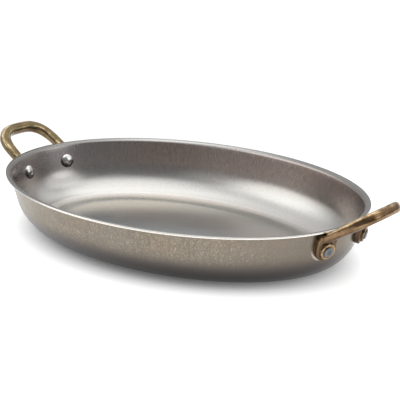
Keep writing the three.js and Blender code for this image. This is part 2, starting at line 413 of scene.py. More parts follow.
def dish_section(depth):
    """Rings of the sheet at a depth inside its outer face, from the lip to the middle of the base."""
    points = [(min(depth, 0.0), bend_height + LIP_BEND_RADIUS + depth)]
    for step in range(BEND_STEPS + 1):
        turn = math.pi / 2 + (WALL_DRAFT - math.pi / 2) * step / BEND_STEPS
        reach = LIP_BEND_RADIUS + depth
        points.append((bend_inset + reach * math.cos(turn), bend_height + reach * math.sin(turn)))
    top_inset, top_height = points[-1]
    radius = CORNER_RADIUS - depth
    low_inset = base_inset - radius * math.cos(WALL_DRAFT)
    low_height = CORNER_RADIUS - radius * math.sin(WALL_DRAFT)
    for step in range(1, WALL_STEPS):
        share = step / WALL_STEPS
        inset = top_inset + (low_inset - top_inset) * share
        points.append((inset, top_height + (low_height - top_height) * share))
    for step in range(CORNER_STEPS + 1):
        turn = WALL_DRAFT + (math.pi / 2 - WALL_DRAFT) * step / CORNER_STEPS
        points.append((base_inset - radius * math.cos(turn), CORNER_RADIUS - radius * math.sin(turn)))
    section = [(HALF_LENGTH - inset, HALF_WIDTH - inset, height) for inset, height in points]
    base_x, base_y, base_height = section[-1]
    for ring in range(BASE_RINGS - 1, 0, -1):
        section.append((base_x * ring / BASE_RINGS, base_y * ring / BASE_RINGS, base_height))
    return section


print("flat base of the dish:", round(2 * (HALF_LENGTH - base_inset), 4), "m long")

# %% [markdown]
# ## Where the rivets cross the wall
# Two rivets hold each handle and stand square to the leaning, curved wall. Their places could be typed in,
# but then a changed wall would leave them behind. So each is worked out on the oval at the rivets' height:
# along the wall, up it and straight out of it. The left end is the right end, turned by half.

# %% Rivet places
RIVET_PITCH = 51.5 * MM
RIVET_DROP = 16.8 * MM
HALF_TURN = Matrix.Rotation(math.pi, 4, "Z")
rivet_height = DISH_HEIGHT - RIVET_DROP


def rivet_frame(side):
    """Place of a rivet on the outside of the right end: X along the wall, Y up it, Z out of it."""
    inset = foot_inset - (rivet_height - wall_foot) * math.tan(WALL_DRAFT)
    half_x = HALF_LENGTH - inset
    half_y = HALF_WIDTH - inset
    y = side * RIVET_PITCH / 2
    x = half_x * math.sqrt(1 - (y / half_y) ** 2)
    lean = -math.tan(WALL_DRAFT) * (x ** 2 / half_x ** 3 + y ** 2 / half_y ** 3)
    out = Vector((x / half_x ** 2, y / half_y ** 2, lean)).normalized()
    along = Vector((0.0, 0.0, 1.0)).cross(out).normalized()
    up = out.cross(along)
    turn = Matrix((along, up, out)).transposed().to_4x4()
    return Matrix.Translation((x, y, rivet_height)) @ turn


RIVET_PLACES = {
    "rivet_right_front": rivet_frame(-1),
    "rivet_right_back": rivet_frame(1),
    "rivet_left_front": HALF_TURN @ rivet_frame(1),
    "rivet_left_back": HALF_TURN @ rivet_frame(-1),
}
for node, matrix in RIVET_PLACES.items():
    low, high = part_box(node)
    print(node, "lies", round((matrix.translation - (low + high) / 2).length, 4), "m from its solid")

# %% [markdown]
# ## Tumbled steel: the flecks
# The outside is covered with fine pale flecks, like those that tumbling with grit leaves. They are dense
# below the lip, thin out down the wall and are calmer at the two ends. An image of flecks would stretch
# where the oval turns, so they are noises in space, drawn out a little upwards.

# %% Tumbled steel: flecks
END_BAND = (100 * MM, 165 * MM)
FLECK_BAND = (18 * MM, 34 * MM)
FLECK_AT_END = 0.25
FLECK_PULL = (1.0, 1.0, 0.45)
STREAK_PULL = (1.0, 1.0, 0.12)
SPECK_PULL = (1.0, 1.0, 0.6)
FLECK_SPREAD = (0.42, 0.62)
GLINT_SPREAD = (0.60, 0.72)

steel_outside, shader, shade = finish("tumbled_steel", METAL)
where = shade.place()
along = shade.axis(where, "X")
height = shade.axis(where, "Z")
to_end = abs(along).between(*END_BAND)
upper = height.between(*FLECK_BAND) * (1 - (1 - FLECK_AT_END) * to_end)
fleck = shade.pulled(where, 1250.0, FLECK_PULL, detail=2.0)
grain = shade.noise(where, 2100.0, detail=2.0)
streak = shade.pulled(where, 420.0, STREAK_PULL)
speck = shade.pulled(where, 760.0, SPECK_PULL, detail=1.0, roughness=0.5)
mottle = 0.5 * fleck + 0.25 * grain + 0.25 * streak
bright = mottle.between(*FLECK_SPREAD) * upper
glint = speck.between(*GLINT_SPREAD) * upper
print("flecks grow between", [round(level, 4) for level in FLECK_BAND], "m up")

# %% [markdown]
# ## Tumbled steel: its tones
# Under the flecks the steel is tan below the lip and goes over brown to nearly black at the foot. That
# black is painted shade: the dish's own shadow under it, as the low wall mirrors it, laid in as colour.
# A ramp could do it, but each band is one mix along the height, so that it can be moved by itself. Slow
# noises make the bands uneven.

# %% Tumbled steel: tones
FOOT_SHADE_BAND = (2 * MM, 34 * MM)
FOOT_BAND = (12 * MM, 30 * MM)
LEFT_TO_RIGHT = (-50 * MM, 50 * MM)
TINT_SPREAD = (0.38, 0.62)
CLOUD_SPREAD = (0.35, 0.65)
TAN_OLIVE = tone(0.172, 0.154, 0.119)
TAN_RED = tone(0.214, 0.170, 0.134)
TAN_CLOUD = tone(0.197, 0.172, 0.147)
END_REFLECTION_LEFT = tone(0.130, 0.128, 0.126)
END_REFLECTION_RIGHT = tone(0.180, 0.155, 0.127)
END_REFLECTION_SHARE = 0.7
FOOT_BROWN = tone(0.155, 0.136, 0.128)
PAINTED_SHADE_BLACK = tone(0.042, 0.039, 0.038)
FLECK_PALE = tone(0.325, 0.283, 0.216)
FLECK_SHARE = 0.7
GLINT_PALE = tone(0.62, 0.56, 0.46)
GLINT_SHARE = 0.3

tint = shade.noise(where, 75.0)
cloud = shade.noise(where, 24.0, roughness=0.55)
tan = tint.between(*TINT_SPREAD).mix(TAN_OLIVE, TAN_RED)
tan = cloud.between(*CLOUD_SPREAD).mix(tan, TAN_CLOUD)
# painted reflection: towards each end the wall takes a neutral tone for what it mirrors at a grazing view
painted_end_reflection = along.between(*LEFT_TO_RIGHT).mix(END_REFLECTION_LEFT, END_REFLECTION_RIGHT)
tan = (END_REFLECTION_SHARE * to_end).mix(tan, painted_end_reflection)
tan = height.between(*FOOT_BAND).mix(FOOT_BROWN, tan)
# painted shade: nearly black at the foot, for the mirrored shadow under the dish
colour = height.between(*FOOT_SHADE_BAND).mix(PAINTED_SHADE_BLACK, tan)
colour = (FLECK_SHARE * bright).mix(colour, FLECK_PALE)
colour = (GLINT_SHARE * glint).mix(colour, GLINT_PALE)
# the painted shade at the foot fades out by this height
print("stain at the foot is clear from", FOOT_SHADE_BAND[1], "m up")

# %% [markdown]
# ## Tumbled steel: its marks of use and a painted highlight
# A thin pale crescent on the wall round the foot of each lug is a painted highlight: a reflection laid in
# as colour. The base isn't seen in the photograph, so its scratches and scuffs are a guess. Both could be
# cut into the mesh, but they are far thinner than a facet, so they are colours that know their place.

# %% Tumbled steel: marks of use and painted highlight
CRESCENT_IN = (9.2 * MM, 9.9 * MM)
CRESCENT_OUT = (12.0 * MM, 10.9 * MM)
CRESCENT_FOOT = (rivet_height + 7 * MM, rivet_height - 3 * MM)
CRESCENT_HIGHLIGHT = tone(0.50, 0.45, 0.40)
CRESCENT_HIGHLIGHT_SHARE = 0.75
SCRATCH_LONG = (0.04, 1.0, 1.0)
SCRATCH_WIDE = (1.0, 0.05, 1.0)
SCUFF_SPREAD = (0.44, 0.57)
SCUFF_DARK = tone(0.120, 0.113, 0.108)
SCUFF_PALE = tone(0.200, 0.188, 0.176)
BASE_BAND = (1.4 * MM, 0.3 * MM)
TUMBLED_ROUGHNESS = 0.27
TUMBLED_BUMP = {"strength": 0.15, "distance": 0.2 * MM}

quarter = shade.vector("ABSOLUTE", where)
from_rivet = shade.measure("DISTANCE", quarter, RIVET_PLACES["rivet_right_back"].translation)
# painted highlight: a pale crescent round the foot of each lug
crescent_highlight = from_rivet.between(*CRESCENT_IN) * from_rivet.between(*CRESCENT_OUT)
crescent_highlight = crescent_highlight * height.between(*CRESCENT_FOOT)
colour = (CRESCENT_HIGHLIGHT_SHARE * crescent_highlight).mix(colour, CRESCENT_HIGHLIGHT)
scratch = 0.5 * shade.pulled(where, 600.0, SCRATCH_LONG, roughness=0.7)
scratch = scratch + 0.5 * shade.pulled(where, 450.0, SCRATCH_WIDE, roughness=0.7)
scuff = 0.45 * shade.noise(where, 30.0, detail=5.0) + 0.55 * scratch
scuffed = scuff.between(*SCUFF_SPREAD).mix(SCUFF_DARK, SCUFF_PALE)
feed(shader, {
    "Base Color": height.between(*BASE_BAND).mix(colour, scuffed),
    "Roughness": TUMBLED_ROUGHNESS + 0.14 * mottle * upper,
    "Normal": shade.bump(mottle * upper, **TUMBLED_BUMP),
})
print("outside:", steel_outside.name, "with", len(steel_outside.node_tree.nodes), "nodes")

# %% [markdown]
# ## Satin steel: the floor of the dish
# The inside was drawn to a satin that mirrors softly. Its floor is straw-coloured at the left back, grey in
# the middle and dull at the right. Much of that is the room, and what the room can't give is painted
# reflection, laid in as slow colour. Each border is moved to and fro by a cloud, so that none of them
# shows as a line.

# %% Satin steel: floor
AWAY = (-0.63, 0.78, 0.0)
DRIFT = 50 * MM
PALE_ALONG = (-100 * MM, -20 * MM)
PALE_BACK = (15 * MM, 45 * MM)
DARK_ALONG = (-30 * MM, 110 * MM)
STRAW_ALONG = (10 * MM, -70 * MM)
STRAW_BACK = (35 * MM, 80 * MM)
DULL_ALONG = (-90 * MM, 10 * MM)
DULL_BACK = (0.0, 65 * MM)
DULL_TURN = (-30 * MM, 45 * MM)
GREY_LEFT = tone(0.440, 0.475, 0.486)
GREY_MIDDLE = tone(0.560, 0.580, 0.570)
GREY_RIGHT = tone(0.315, 0.320, 0.314)
STRAW = tone(0.680, 0.640, 0.570)
DULL_LEFT = tone(0.510, 0.495, 0.460)
DULL_RIGHT = tone(0.325, 0.317, 0.298)

steel_inside, shader, shade = finish("satin_steel", METAL)
where = shade.place()
along = shade.axis(where, "X")
height = shade.axis(where, "Z")
cloud = shade.noise(where, 16.0, roughness=0.55)
drift = DRIFT * (cloud - 0.5)
drift_along = along + drift
drift_back = shade.measure("DOT_PRODUCT", where, AWAY) + drift
# painted reflection: the straw, grey and dull zones of the floor are laid in as colour
pale = drift_along.between(*PALE_ALONG) * drift_back.between(*PALE_BACK)
grey = drift_along.between(*DARK_ALONG).mix(pale.mix(GREY_LEFT, GREY_MIDDLE), GREY_RIGHT)
straw = drift_along.between(*STRAW_ALONG) * drift_back.between(*STRAW_BACK)
base = straw.mix(grey, STRAW)
dull = drift_along.between(*DULL_ALONG) * drift_back.between(*DULL_BACK)
base = dull.mix(base, along.between(*DULL_TURN).mix(DULL_LEFT, DULL_RIGHT))
print("borders on the floor drift by up to", DRIFT / 2, "m")

# %% [markdown]
# ## Satin steel: cove, wall and lip
# In the photograph a dull line runs round the floor, with a light ring beside it at the foot of the cove.
# They are partly mirrored there, and what this room doesn't give is laid in as colour: painted shade on
# the line, and a painted highlight on the ring. Above come the pale cove, the brownish wall and a lip that
# is grey at its ends. Separate materials would show hard borders, so each is mixed in by its height, or by
# how far out it lies on the oval of the base.

# %% Satin steel: cove, wall and lip
COVE_BAND = (1.6 * MM, 4.5 * MM)
COVE_RISE = (6 * MM, 12 * MM)
COVE_LOW = tone(0.525, 0.516, 0.493)
COVE_HIGH = tone(0.490, 0.482, 0.460)
COVE_TURN = (30 * MM, 110 * MM)
COVE_RIGHT = tone(0.440, 0.434, 0.414)
LINE_IN = (0.91, 0.98)
LINE_OUT = (1.06, 0.99)
LINE_TURN = (-80 * MM, 0.0)
LINE_LEFT = tone(0.430, 0.435, 0.412)
LINE_RIGHT = tone(0.320, 0.325, 0.310)
HIGHLIGHT_RING_FOOT = (1.65 * MM, 2.3 * MM)
HIGHLIGHT_RING_TOP = (4.8 * MM, 3.3 * MM)
HIGHLIGHT_RING_TURN = (120 * MM, -90 * MM)
HIGHLIGHT_RING_PALE = tone(0.800, 0.788, 0.755)
WALL_BAND = (14 * MM, 38 * MM)
WALL_SIDE = tone(0.490, 0.407, 0.369)
WALL_END = tone(0.450, 0.415, 0.402)
LIP_BAND = (47.5 * MM, 50.4 * MM)
LIP_ASKEW = (0.83, 0.55, 0.0)
LIP_RUN = (25 * MM, 115 * MM)
LIP_SIDE = tone(0.480, 0.475, 0.462)
LIP_END = tone(0.245, 0.240, 0.232)

cove_tone = height.between(*COVE_RISE).mix(COVE_LOW, COVE_HIGH)
cove_tone = along.between(*COVE_TURN).mix(cove_tone, COVE_RIGHT)
base = height.between(*COVE_BAND).mix(base, cove_tone)
oval = (1 / (HALF_LENGTH - base_inset), 1 / (HALF_WIDTH - base_inset), 0.0)
out = shade.measure("LENGTH", shade.vector("MULTIPLY", where, oval))
line_tone = along.between(*LINE_TURN).mix(LINE_LEFT, LINE_RIGHT)
# painted shade: the dull line round the floor
base = (out.between(*LINE_IN) * out.between(*LINE_OUT)).mix(base, line_tone)
# painted highlight: the light ring at the foot of the cove
highlight_ring = height.between(*HIGHLIGHT_RING_FOOT) * height.between(*HIGHLIGHT_RING_TOP)
base = (highlight_ring * along.between(*HIGHLIGHT_RING_TURN)).mix(base, HIGHLIGHT_RING_PALE)
wall = height.between(*WALL_BAND)
to_end = abs(along).between(*END_BAND)
base = wall.mix(base, to_end.mix(WALL_SIDE, WALL_END))
lip_end = abs(shade.measure("DOT_PRODUCT", where, LIP_ASKEW)).between(*LIP_RUN)
base = height.between(*LIP_BAND).mix(base, lip_end.mix(LIP_SIDE, LIP_END))
print("light ring at the foot of the cove ends", HIGHLIGHT_RING_TOP[0], "m up")

# %% [markdown]
# ## Satin steel: its grain
# Drawing left fine upright lines in the steel, which show on the wall and hardly on the floor. A bump map
# would break the soft mirror into sparkles, so the lines only change the tone a little, by a Mix node that
# multiplies, and the gloss.

# %% Satin steel: grain
GRAIN_PULL = (1.0, 1.0, 0.20)
GRAIN_DARK = tone(0.78, 0.78, 0.78)
GRAIN_PALE = tone(1.22, 1.22, 1.22)
GRAIN_ON_FLOOR = 0.6
GRAIN_ON_WALL = 1.1
GRAIN_LOST_AT_END = 0.6
SATIN_ROUGHNESS = 0.16

grain = shade.pulled(where, 700.0, GRAIN_PULL, roughness=0.65)
contrast = GRAIN_ON_FLOOR + GRAIN_ON_WALL * wall * (1 - GRAIN_LOST_AT_END * to_end)
shift = (0.5 + contrast * (grain - 0.5)).mix(GRAIN_DARK, GRAIN_PALE)
multiply = {"data_type": "RGBA", "blend_type": "MULTIPLY"}
feed(shader, {
    "Base Color": shade.node("ShaderNodeMix", multiply, {0: 1.0, 6: base, 7: shift}, output=2),
    "Roughness": SATIN_ROUGHNESS + 0.06 * grain + 0.04 * cloud + 0.05 * wall + 0.10 * highlight_ring,
})
print("inside:", steel_inside.name, "with", len(steel_inside.node_tree.nodes), "nodes")

# %% [markdown]
# ## The ground edge
# The edge of the sheet was ground smooth and shines as a thin line along the lip, duller at the left. It
# could be painted on the lip, but a bevel gives it narrow faces of its own below, so it only needs a
# bright finish with small nicks.

# %% Ground edge
EDGE_PALE = tone(0.82, 0.79, 0.73)
EDGE_BRIGHT = tone(0.96, 0.93, 0.88)
EDGE_DULL = tone(0.40, 0.395, 0.385)
EDGE_DULL_RUN = (-92 * MM, -136 * MM)
EDGE_ROUGHNESS = 0.2

steel_edge, shader, shade = finish("ground_edge", METAL)
where = shade.place()
nick = shade.noise(where, 300.0)
dull_end = shade.measure("DOT_PRODUCT", where, LIP_ASKEW).between(*EDGE_DULL_RUN)
feed(shader, {
    "Base Color": dull_end.mix(nick.mix(EDGE_PALE, EDGE_BRIGHT), EDGE_DULL),
    "Roughness": EDGE_ROUGHNESS + 0.12 * nick,
})
print("edge:", steel_edge.name, "with", len(steel_edge.node_tree.nodes), "nodes")

# %% [markdown]
# ## Tools for solids
# The dish and the handles are finished alike: modifiers are applied one after the other, and the rivets'
# holes are drilled with Boolean. Holes could be left out, as the rivets fill them, but then a rivet would
# run through the sheet, and the pieces couldn't be taken apart.

# %% Tools for solids
SHANK_DIAMETER = 6.0 * MM
HOLE_CLEARANCE = 0.3 * MM
DRILL_DEPTH = 6 * MM
DRILL_SIDES = 32


def place(piece, matrix):
    """Move a piece into place and write the place into its mesh."""
    piece.matrix_world = matrix
    pick(piece)
    bpy.ops.object.transform_apply(location=True, rotation=True, scale=True)


def finish_with(piece, kind, **settings):
    """Add a modifier with these settings and apply it."""
    modifier = piece.modifiers.new(kind.lower(), kind)
    for name, value in settings.items():
        setattr(modifier, name, value)
    pick(piece)
    bpy.ops.object.modifier_apply(modifier=modifier.name)


def cut(piece, cutter):
    """Take one solid away from another."""
    finish_with(piece, "BOOLEAN", object=cutter, operation="DIFFERENCE", solver="EXACT")
    bpy.data.objects.remove(cutter)


def drill(piece, node, reach):
    """Drill a rivet's hole through a piece, from inside the dish to a distance outside the wall."""
    radius = SHANK_DIAMETER / 2 + HOLE_CLEARANCE
    bit = rings("drill", [(radius, radius, -DRILL_DEPTH), (radius, radius, reach)], DRILL_SIDES, "NGON")
    place(bit, RIVET_PLACES[node])
    cut(piece, bit)


def smooth(piece, degrees):
    """Shade smoothly across edges that turn by less than an angle."""
    pick(piece)
    bpy.ops.object.shade_smooth_by_angle(angle=math.radians(degrees))


print("holes are", round(SHANK_DIAMETER + 2 * HOLE_CLEARANCE, 4), "m wide")

# %% [markdown]
# ## Drawing and thickening the dish
# Now the sheet is drawn: its outside as rings, which Solidify thickens inwards to an even wall. Modelling
# both faces would do as well, but Solidify also sorts the finishes: the second one goes on the inside and
# the third on the edge of the lip, which a small bevel then rounds.

# %% Drawing and thickening the dish
OVAL_SIDES = 192
LIP_EDGE = 0.4 * MM
LIP_EDGE_STEPS = 3
LIP_EDGE_ANGLE = math.radians(50)
DISH_DRILL_REACH = 4 * MM
INSIDE_SLOT = 1
EDGE_SLOT = 2

dish = rings("dish", dish_section(0.0), OVAL_SIDES, "NOTHING")
base_face = min(dish.data.polygons, key=lambda face: face.center.length)
if base_face.normal.z > 0:
    dish.data.flip_normals()
for skin in (steel_outside, steel_inside, steel_edge):
    dish.data.materials.append(skin)
finish_with(
    dish, "SOLIDIFY", thickness=SHEET_THICKNESS, offset=-1.0, use_even_offset=True,
    material_offset=INSIDE_SLOT, material_offset_rim=EDGE_SLOT,
)
finish_with(
    dish, "BEVEL", width=LIP_EDGE, segments=LIP_EDGE_STEPS, limit_method="ANGLE",
    angle_limit=LIP_EDGE_ANGLE, material=EDGE_SLOT,
)
for node in RIVET_PLACES:
    drill(dish, node, DISH_DRILL_REACH)
smooth(dish, 35)
print("dish has", len(dish.data.polygons), "faces")

# %% [markdown]
# ## The line of the handle
# Each handle is one casting, whose bar rises from two lugs in a squarish arch. A Bezier curve could draw
# it, but its points crowd together in the bends. A superellipse has the same form, and walking along it
# in even steps gives facets of even length.

# %% Line of the bar
LEG_SPREAD = 2.75 * MM
LEG_ROOT = 4.2 * MM
LOOP_REACH = 39.5 * MM
LOOP_SQUARENESS = 3.2
CURVE_STEPS = 720
BAR_STEPS = 72
TINY = 1e-12

half_span = RIVET_PITCH / 2 + LEG_SPREAD


def loop_line():
    """Points along the middle of the bar, evenly spaced, in the plane of the loop."""
    power = 2 / LOOP_SQUARENESS
    curve = [Vector((-LEG_ROOT, -half_span))]
    for step in range(CURVE_STEPS + 1):
        turn = math.pi * step / CURVE_STEPS
        across = -math.copysign(abs(math.cos(turn)) ** power, math.cos(turn))
        curve.append(Vector((LOOP_REACH * math.sin(turn) ** power, half_span * across)))
    curve.append(Vector((-LEG_ROOT, half_span)))
    lengths = [0.0]
    for first, second in zip(curve, curve[1:]):
        lengths.append(lengths[-1] + (second - first).length)
    points = []
    for step in range(BAR_STEPS + 1):
        wanted = lengths[-1] * step / BAR_STEPS
        index = max(i for i in range(len(curve) - 1) if lengths[i] <= wanted + TINY)
        share = (wanted - lengths[index]) / max(lengths[index + 1] - lengths[index], TINY)
        points.append(curve[index].lerp(curve[index + 1], min(share, 1.0)))
    return points


line = loop_line()
print("line of the bar has", len(line), "points over a span of", round(2 * half_span, 4), "m")

# %% [markdown]
# ## The bar
# The bar is flat with rounded edges, slim at the lugs and fuller at the grip, and the loop slopes upwards.
# A curve with a bevel shape would keep one size all along. So a rounded rectangle is extruded from point
# to point of the line, and is turned and scaled a little at each one.

# %% Bar
NECK_WIDTH = 9.8 * MM
NECK_THICKNESS = 7.4 * MM
GRIP_WIDTH = 10.0 * MM
GRIP_THICKNESS = 9.2 * MM
BAR_ROUNDING = 2.9 * MM
ROUNDING_STEPS = 6
LEG_OUT = 6.0 * MM
LEG_RISE = 10.6 * MM
LOOP_SLOPE = math.radians(32)


def bar_size(point):
    """Width and thickness of the bar at a point of its line: slim at the lugs, fuller at the grip."""
    share = min(max(point.x / LOOP_REACH, 0.0), 1.0)
    share = share * share * (3 - 2 * share)
    width = NECK_WIDTH + (GRIP_WIDTH - NECK_WIDTH) * share
    return width, NECK_THICKNESS + (GRIP_THICKNESS - NECK_THICKNESS) * share


bpy.ops.object.select_all(action="DESELECT")
bpy.ops.mesh.primitive_plane_add(size=1.0, rotation=(0.0, math.pi / 2, 0.0))
bar = bpy.context.object
bar.name = "bar"
bar.scale = (NECK_THICKNESS, NECK_WIDTH, 1.0)
bpy.ops.object.transform_apply(location=True, rotation=True, scale=True)
bpy.ops.object.mode_set(mode="EDIT")
bpy.ops.mesh.select_all(action="SELECT")
bpy.ops.mesh.bevel(offset=BAR_ROUNDING, segments=ROUNDING_STEPS, affect="VERTICES")
bpy.ops.mesh.select_all(action="SELECT")
bpy.ops.transform.translate(value=(line[0].x, line[0].y, 0.0))
heading = 0.0
width, thickness = NECK_WIDTH, NECK_THICKNESS
last = len(line) - 1
for step in range(1, len(line)):
    move = line[step] - line[step - 1]
    ahead = line[min(step + 1, last)] - line[step - 1]
    new_heading = math.atan2(ahead.y, ahead.x) if step < last else math.pi
    new_width, new_thickness = bar_size(line[step])
    centre = (line[step].x, line[step].y, 0.0)
    bpy.ops.mesh.extrude_region_move(TRANSFORM_OT_translate={"value": (move.x, move.y, 0.0)})
    bpy.ops.transform.rotate(value=heading - new_heading, orient_axis="Z", center_override=centre)
    grow = (new_width / width, new_width / width, new_thickness / thickness)
    bpy.ops.transform.resize(value=grow, center_override=centre)
    heading, width, thickness = new_heading, new_width, new_thickness
close_up()

root_place = RIVET_PLACES["rivet_right_front"].translation
slope = Matrix.Rotation(-LOOP_SLOPE, 4, "Y")
loop_frame = Matrix.Translation((root_place.x + LEG_OUT, 0.0, root_place.z + LEG_RISE)) @ slope
place(bar, loop_frame)
print("bar spans", [round(value, 4) for value in bar.dimensions])

# %% [markdown]
# ## Lug and raised ring
# A lug is the tongue that lies on the wall: round at its foot, flatter at its top. A ring is raised on it,
# and the rivet is closed on that. Both could be cut from blocks, but it is simpler to stretch the upper
# half of a disc and extrude it, and to draw the ring as rings. They reach into the wall for now.

# %% Lug and raised ring
LUG_WIDTH = 19.4 * MM
LUG_RISE = 14.0 * MM
LUG_TOP_RADIUS = 5.0 * MM
LUG_THICKNESS = 4.2 * MM
LUG_EDGE = 0.7 * MM
LUG_SIDES = 64
MIDLINE = 0.001 * MM
BOSS_DIAMETER = 14.1 * MM
BOSS_HEIGHT = 2.2 * MM
BOSS_EDGE = 0.7 * MM
TURNED_SIDES = 48
EDGE_STEPS = 4
BURY = 2.5 * MM


def lug(name):
    """A tongue about the rivet: round at its foot, flatter at its top, with softened front edges."""
    half = LUG_WIDTH / 2
    back = (0.0, 0.0, -BURY)
    bpy.ops.object.select_all(action="DESELECT")
    bpy.ops.mesh.primitive_circle_add(vertices=LUG_SIDES, radius=half, fill_type="NGON", location=back)
    piece = bpy.context.object
    piece.name = name
    bpy.ops.object.transform_apply(location=True)
    for corner in piece.data.vertices:
        corner.select = corner.co.y > MIDLINE
    for edge in piece.data.edges:
        edge.select = all(piece.data.vertices[i].select for i in edge.vertices)
    for face in piece.data.polygons:
        face.select = False
    bpy.ops.object.mode_set(mode="EDIT")
    bpy.ops.mesh.select_mode(type="VERT")
    bpy.ops.transform.resize(value=(1.0, LUG_TOP_RADIUS / half, 1.0), center_override=back)
    bpy.ops.transform.translate(value=(0.0, LUG_RISE - LUG_TOP_RADIUS, 0.0))
    bpy.ops.mesh.select_mode(type="FACE")
    bpy.ops.mesh.select_all(action="SELECT")
    bpy.ops.mesh.extrude_region_move(TRANSFORM_OT_translate={"value": (0.0, 0.0, BURY + LUG_THICKNESS)})
    bpy.ops.mesh.bevel(offset=LUG_EDGE, segments=EDGE_STEPS, affect="EDGES")
    close_up()
    return piece


def boss(name):
    """The raised ring that the rivet is closed on."""
    radius = BOSS_DIAMETER / 2
    top = LUG_THICKNESS + BOSS_HEIGHT
    section = [(radius, radius, 0.0), (radius, radius, top - BOSS_EDGE)]
    for step in range(1, EDGE_STEPS + 1):
        turn = math.pi / 2 * step / EDGE_STEPS
        rim = radius - BOSS_EDGE * (1 - math.cos(turn))
        section.append((rim, rim, top - BOSS_EDGE * (1 - math.sin(turn))))
    return rings(name, section, TURNED_SIDES, "NGON")


print("lug is", LUG_WIDTH, "m wide and rises", LUG_RISE, "m above its rivet")

# %% [markdown]
# ## One casting
# In a sand casting the bar, the lugs and the rings flow into each other with soft hollows. These could be
# bevelled by hand, but a voxel Remesh melts the joined pieces into one skin at once. The room of the dish
# is then cut away behind the lugs, and the slivers that this leaves are merged.

# %% One casting
CAST_VOXEL = 0.5 * MM
CAST_CLEARANCE = 0.3 * MM
SOFTENING = 0.5
SOFTENING_ROUNDS = 5
SLIVER = 0.02 * MM
HANDLE_DRILL_REACH = 12 * MM
HANDLE_RIVETS = ("rivet_right_front", "rivet_right_back")

parts = [bar]
for node in HANDLE_RIVETS:
    for make in (lug, boss):
        part = make("casting")
        place(part, RIVET_PLACES[node])
        parts.append(part)
bpy.ops.object.select_all(action="DESELECT")
for part in parts:
    part.select_set(True)
bpy.context.view_layer.objects.active = bar
bpy.ops.object.join()
handle = bar
handle.name = "handle_grip_right"
finish_with(handle, "REMESH", mode="VOXEL", voxel_size=CAST_VOXEL)
finish_with(handle, "SMOOTH", factor=SOFTENING, iterations=SOFTENING_ROUNDS)

room_section = dish_section(-CAST_CLEARANCE)
room_x, room_y, _ = room_section[0]
room_section.insert(0, (room_x, room_y, DISH_HEIGHT + CAST_CLEARANCE))
cut(handle, rings("dish_room", room_section, OVAL_SIDES, "NGON"))
for node in HANDLE_RIVETS:
    drill(handle, node, HANDLE_DRILL_REACH)
pick(handle)
bpy.ops.object.mode_set(mode="EDIT")
bpy.ops.mesh.select_all(action="SELECT")
bpy.ops.mesh.remove_doubles(threshold=SLIVER)
bpy.ops.mesh.dissolve_degenerate(threshold=SLIVER)
bpy.ops.mesh.delete_loose()
bpy.ops.object.mode_set(mode="OBJECT")
finish_with(handle, "TRIANGULATE", min_vertices=5)
smooth(handle, 40)
print("handle has", len(handle.data.polygons), "faces")

# %% [markdown]
# ## Marks for the wear, the painted shade and the painted highlights
# Brass is rubbed bright where it stands proud and stays dark where it is hollow. Where it faces up it is
# lightened with a painted highlight, and where it faces down it is darkened with tarnish and painted shade.
# Pointiness of the Geometry node could tell that, but in one renderer only. So four values are kept on the
# mesh: its bend, how far it faces down, its height on a ring, and its place along the bar.

# %% Marks for the wear and the painted light
WEAR_ROUNDS = 6
BEND_LIMIT = 1500.0
RING_REACH = 0.6 * BOSS_DIAMETER


def bend_of(mesh):
    """How sharply each point of a mesh stands proud of its neighbours, per metre, a little smoothed."""
    bend = []
    for corner in mesh.verts:
        total = 0.0
        for edge in corner.link_edges:
            gap = corner.co - edge.other_vert(corner).co
            total += 2 * gap.dot(corner.normal) / max(gap.length_squared, TINY)
        bend.append(min(max(total / max(len(corner.link_edges), 1), -BEND_LIMIT), BEND_LIMIT))
    for _ in range(WEAR_ROUNDS):
        fresh = []
        for corner in mesh.verts:
            near = [bend[edge.other_vert(corner).index] for edge in corner.link_edges]
            fresh.append(0.5 * bend[corner.index] + 0.5 * sum(near) / max(len(near), 1))
        bend = fresh
    return bend


def on_ring(point):
    """From 0 to 1 as a point of the right handle rises from a lug to the top of its raised ring."""
    proud = 0.0
    for node in HANDLE_RIVETS:
        seen = RIVET_PLACES[node].inverted() @ point
        if seen.xy.length < RING_REACH:
            proud = max(proud, (seen.z - LUG_THICKNESS) / BOSS_HEIGHT)
    return min(proud, 1.0)


nearest = kdtree.KDTree(len(line))
for index, spot in enumerate(line):
    nearest.insert((spot.x, spot.y, 0.0), index)
nearest.balance()
to_loop = loop_frame.inverted()


def on_bar(point):
    """Place of a point of the right handle: along the bar, across it, and out of the loop's plane."""
    seen = to_loop @ point
    index = min(nearest.find((seen.x, seen.y, 0.0))[1], len(line) - 2)
    ahead = line[index + 1] - line[index]
    off = seen.xy - line[index]
    along = index * ahead.length + off.dot(ahead.normalized())
    return along, off.dot(ahead.orthogonal().normalized()), seen.z


mesh = bmesh.new()
mesh.from_mesh(handle.data)
bend = bend_of(mesh)
marks = {
    "wear": [value * MM for value in bend],
    "under": [-corner.normal.z for corner in mesh.verts],
    "ring": [on_ring(corner.co) for corner in mesh.verts],
}
for name, values in marks.items():
    mark = handle.data.attributes.new(name, "FLOAT", "POINT")
    mark.data.foreach_set("value", values)
mark = handle.data.attributes.new("on_bar", "FLOAT_VECTOR", "POINT")
mark.data.foreach_set("vector", [value for corner in mesh.verts for value in on_bar(corner.co)])
mesh.free()
print("bend of the handle's surface, per metre:", round(min(bend)), "to", round(max(bend)))

# %% [markdown]
# ## Aged brass: where it is rubbed, with a painted highlight
# Hands and cloths polish the upper edges of the grip and the tops of the rings, and leave the rest alone.
# On the grip that bright brass is also a painted highlight, kept to faces that look upwards.
# A painted mask would fit this one handle only. So the marks on the mesh are put together with noises, and
# the rubbing breaks up into streaks along the bar.

